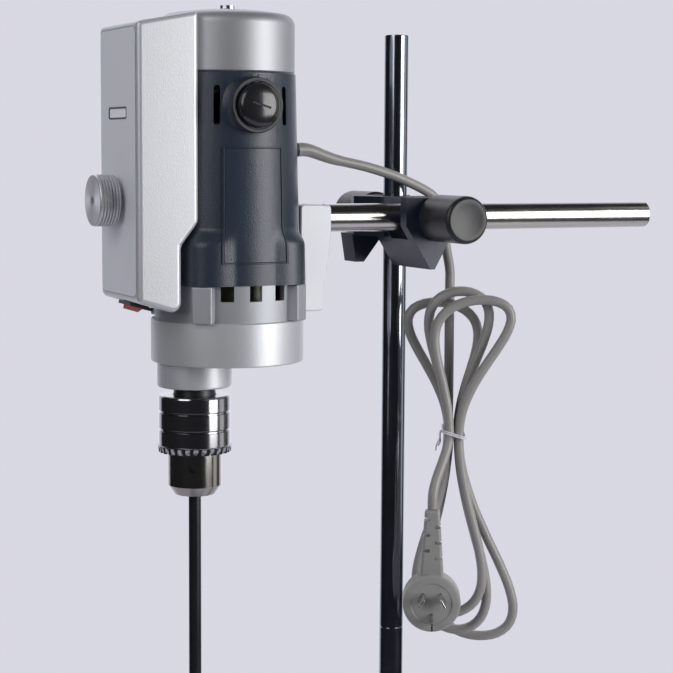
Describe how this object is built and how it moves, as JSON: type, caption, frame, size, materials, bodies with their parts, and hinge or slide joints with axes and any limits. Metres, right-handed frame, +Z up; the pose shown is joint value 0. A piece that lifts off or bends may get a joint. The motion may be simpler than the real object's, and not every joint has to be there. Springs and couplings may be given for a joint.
{
  "type": "overhead laboratory stirrer on a stand",
  "caption": "Bench stirrer: a motor head with a drill chuck and an impeller rod, carried on a cross bar and a boss-head clamp that slides on an upright pole over a flat base plate.",
  "frame": {"origin": "the middle of the footprint of the rigid object, on the table", "axes": "+Z up along the pole, -X the front panel's side, +X the pole's side, -Y the side of the near brush cap and of the bar's clamp knob"},
  "size_m": [0.4434, 0.2, 0.8263],
  "materials": {
    "plate_paint": "satin",
    "rubber": "matt",
    "chrome": "polished",
    "steel": "turned",
    "silver_paint": "silver paint",
    "white_paint": "silver white paint",
    "navy_plastic": "fine grain",
    "navy_paint": "gloss paint",
    "black_plastic": "satin",
    "carbon": "matt",
    "copper": "lacquered windings",
    "board": "satin",
    "red_plastic": "gloss",
    "display_glass": "clear gloss",
    "cord_grey": "satin",
    "tie_white": "satin",
    "pin_brass": "nickel plated"
  },
  "bodies": {
    "stand": {"base_plate": "plate_paint", "rubber_foot_1": "rubber", "rubber_foot_2": "rubber", "rubber_foot_3": "rubber", "rubber_foot_4": "rubber", "pole_bolt": "steel", "lower_pole": "chrome"},
    "pole_top": {"upper_pole": "chrome"},
    "clamp": {"clamp_body": "navy_paint", "mains_cord": "cord_grey", "cord_hank": "cord_grey", "hank_tie": "tie_white", "plug_body": "cord_grey", "live_pin": "pin_brass", "neutral_pin": "pin_brass", "earth_pin": "pin_brass"},
    "bar_knob": {"bar_clamp_knob": "black_plastic"},
    "pole_knob": {"pole_clamp_knob": "black_plastic"},
    "bar": {"support_bar": "steel"},
    "head": {"rear_bracket": "white_paint", "bracket_screw": "steel", "motor_housing": "navy_plastic", "motor_cap": "silver_paint", "cap_screw": "steel", "brush_cap_near": "black_plastic", "brush_cap_far": "black_plastic", "carbon_brush_near": "carbon", "carbon_brush_far": "carbon", "field_stator": "copper", "motor_flange": "silver_paint", "armature_bearing_low": "steel", "armature_bearing_top": "steel", "spindle_bearing_low": "steel", "spindle_bearing_top": "steel", "gear_housing": "silver_paint", "housing_screw_1": "steel", "housing_screw_2": "steel", "housing_screw_3": "steel", "housing_screw_4": "steel", "control_box": "silver_paint", "front_plate": "silver_paint", "display_window": "display_glass", "display_board": "board", "speed_dial_base": "black_plastic", "switch_frame": "black_plastic", "cord_gland": "black_plastic"},
    "speed_knob": {"speed_knob": "silver_paint"},
    "switch_rocker": {"switch_rocker": "red_plastic"},
    "rotor": {"armature": "steel", "cooling_fan": "black_plastic"},
    "spindle": {"output_spindle": "steel", "drive_gear": "steel", "chuck_collar": "black_plastic", "chuck_body": "chrome", "stirrer_rod": "steel", "impeller": "steel"},
    "chuck_sleeve": {"chuck_sleeve": "chrome"},
    "jaw_1": {"chuck_jaw_1": "steel"},
    "jaw_2": {"chuck_jaw_2": "steel"},
    "jaw_3": {"chuck_jaw_3": "steel"}
  },
  "joints": [
    {"name": "clamp_swivel", "type": "hinge", "parent": "stand", "child": "pole_top", "pos_m": [0.04335, 0, 0.415], "axis": [0, 0, 1], "range_deg": [-60, 60]},
    {"name": "clamp_height", "type": "slide", "parent": "pole_top", "child": "clamp", "axis": [0, 0, 1], "range_m": [-0.14, 0.09]},
    {"name": "bar_screw", "type": "hinge", "parent": "clamp", "child": "bar_knob", "pos_m": [0.04335, -0.059, 0.696], "axis": [0, -1, 0], "range_deg": [0, 540]},
    {"name": "pole_screw", "type": "hinge", "parent": "clamp", "child": "pole_knob", "pos_m": [0.04335, 0.026, 0.696], "axis": [0, 1, 0], "range_deg": [0, 540]},
    {"name": "bar_reach", "type": "slide", "parent": "clamp", "child": "bar", "axis": [-1, 0, 0], "range_m": [0, 0.06]},
    {"name": "head_tilt", "type": "hinge", "parent": "bar", "child": "head", "pos_m": [-0.02565, -0.033, 0.696], "axis": [1, 0, 0], "range_deg": [-20, 20]},
    {"name": "speed_turn", "type": "hinge", "parent": "head", "child": "speed_knob", "pos_m": [-0.16295, -0.033, 0.708], "axis": [-1, 0, 0], "range_deg": [-300, 0]},
    {"name": "switch_rock", "type": "hinge", "parent": "head", "child": "switch_rocker", "pos_m": [-0.15116, -0.033, 0.64641], "axis": [0.9576, 0, -0.2882], "range_deg": [0, 18]},
    {"name": "spindle_turn", "type": "hinge", "parent": "head", "child": "spindle", "pos_m": [-0.11365, -0.033, 0.6], "axis": [0, 0, 1], "continuous": true},
    {"name": "rotor_turn", "type": "hinge", "parent": "head", "child": "rotor", "pos_m": [-0.09165, -0.033, 0.7], "axis": [0, 0, 1], "continuous": true},
    {"name": "sleeve_turn", "type": "hinge", "parent": "spindle", "child": "chuck_sleeve", "pos_m": [-0.11365, -0.033, 0.57], "axis": [0, 0, 1], "range_deg": [0, 1080]},
    {"name": "jaw_slide_1", "type": "slide", "parent": "spindle", "child": "jaw_1", "axis": [0.1053, 0.2364, 0.9659], "range_m": [0, 0.0038]},
    {"name": "jaw_slide_2", "type": "slide", "parent": "spindle", "child": "jaw_2", "axis": [-0.2574, -0.0271, 0.9659], "range_m": [0, 0.0038]},
    {"name": "jaw_slide_3", "type": "slide", "parent": "spindle", "child": "jaw_3", "axis": [0.1521, -0.2094, 0.9659], "range_m": [0, 0.0038]}
  ],
  "couplings": [
    {"joint": "rotor_turn", "follows": "spindle_turn", "ratio": -3.4},
    {"joint": "jaw_slide_1", "follows": "sleeve_turn", "m_per_rad": 0.0002},
    {"joint": "jaw_slide_2", "follows": "sleeve_turn", "m_per_rad": 0.0002},
    {"joint": "jaw_slide_3", "follows": "sleeve_turn", "m_per_rad": 0.0002}
  ]
}
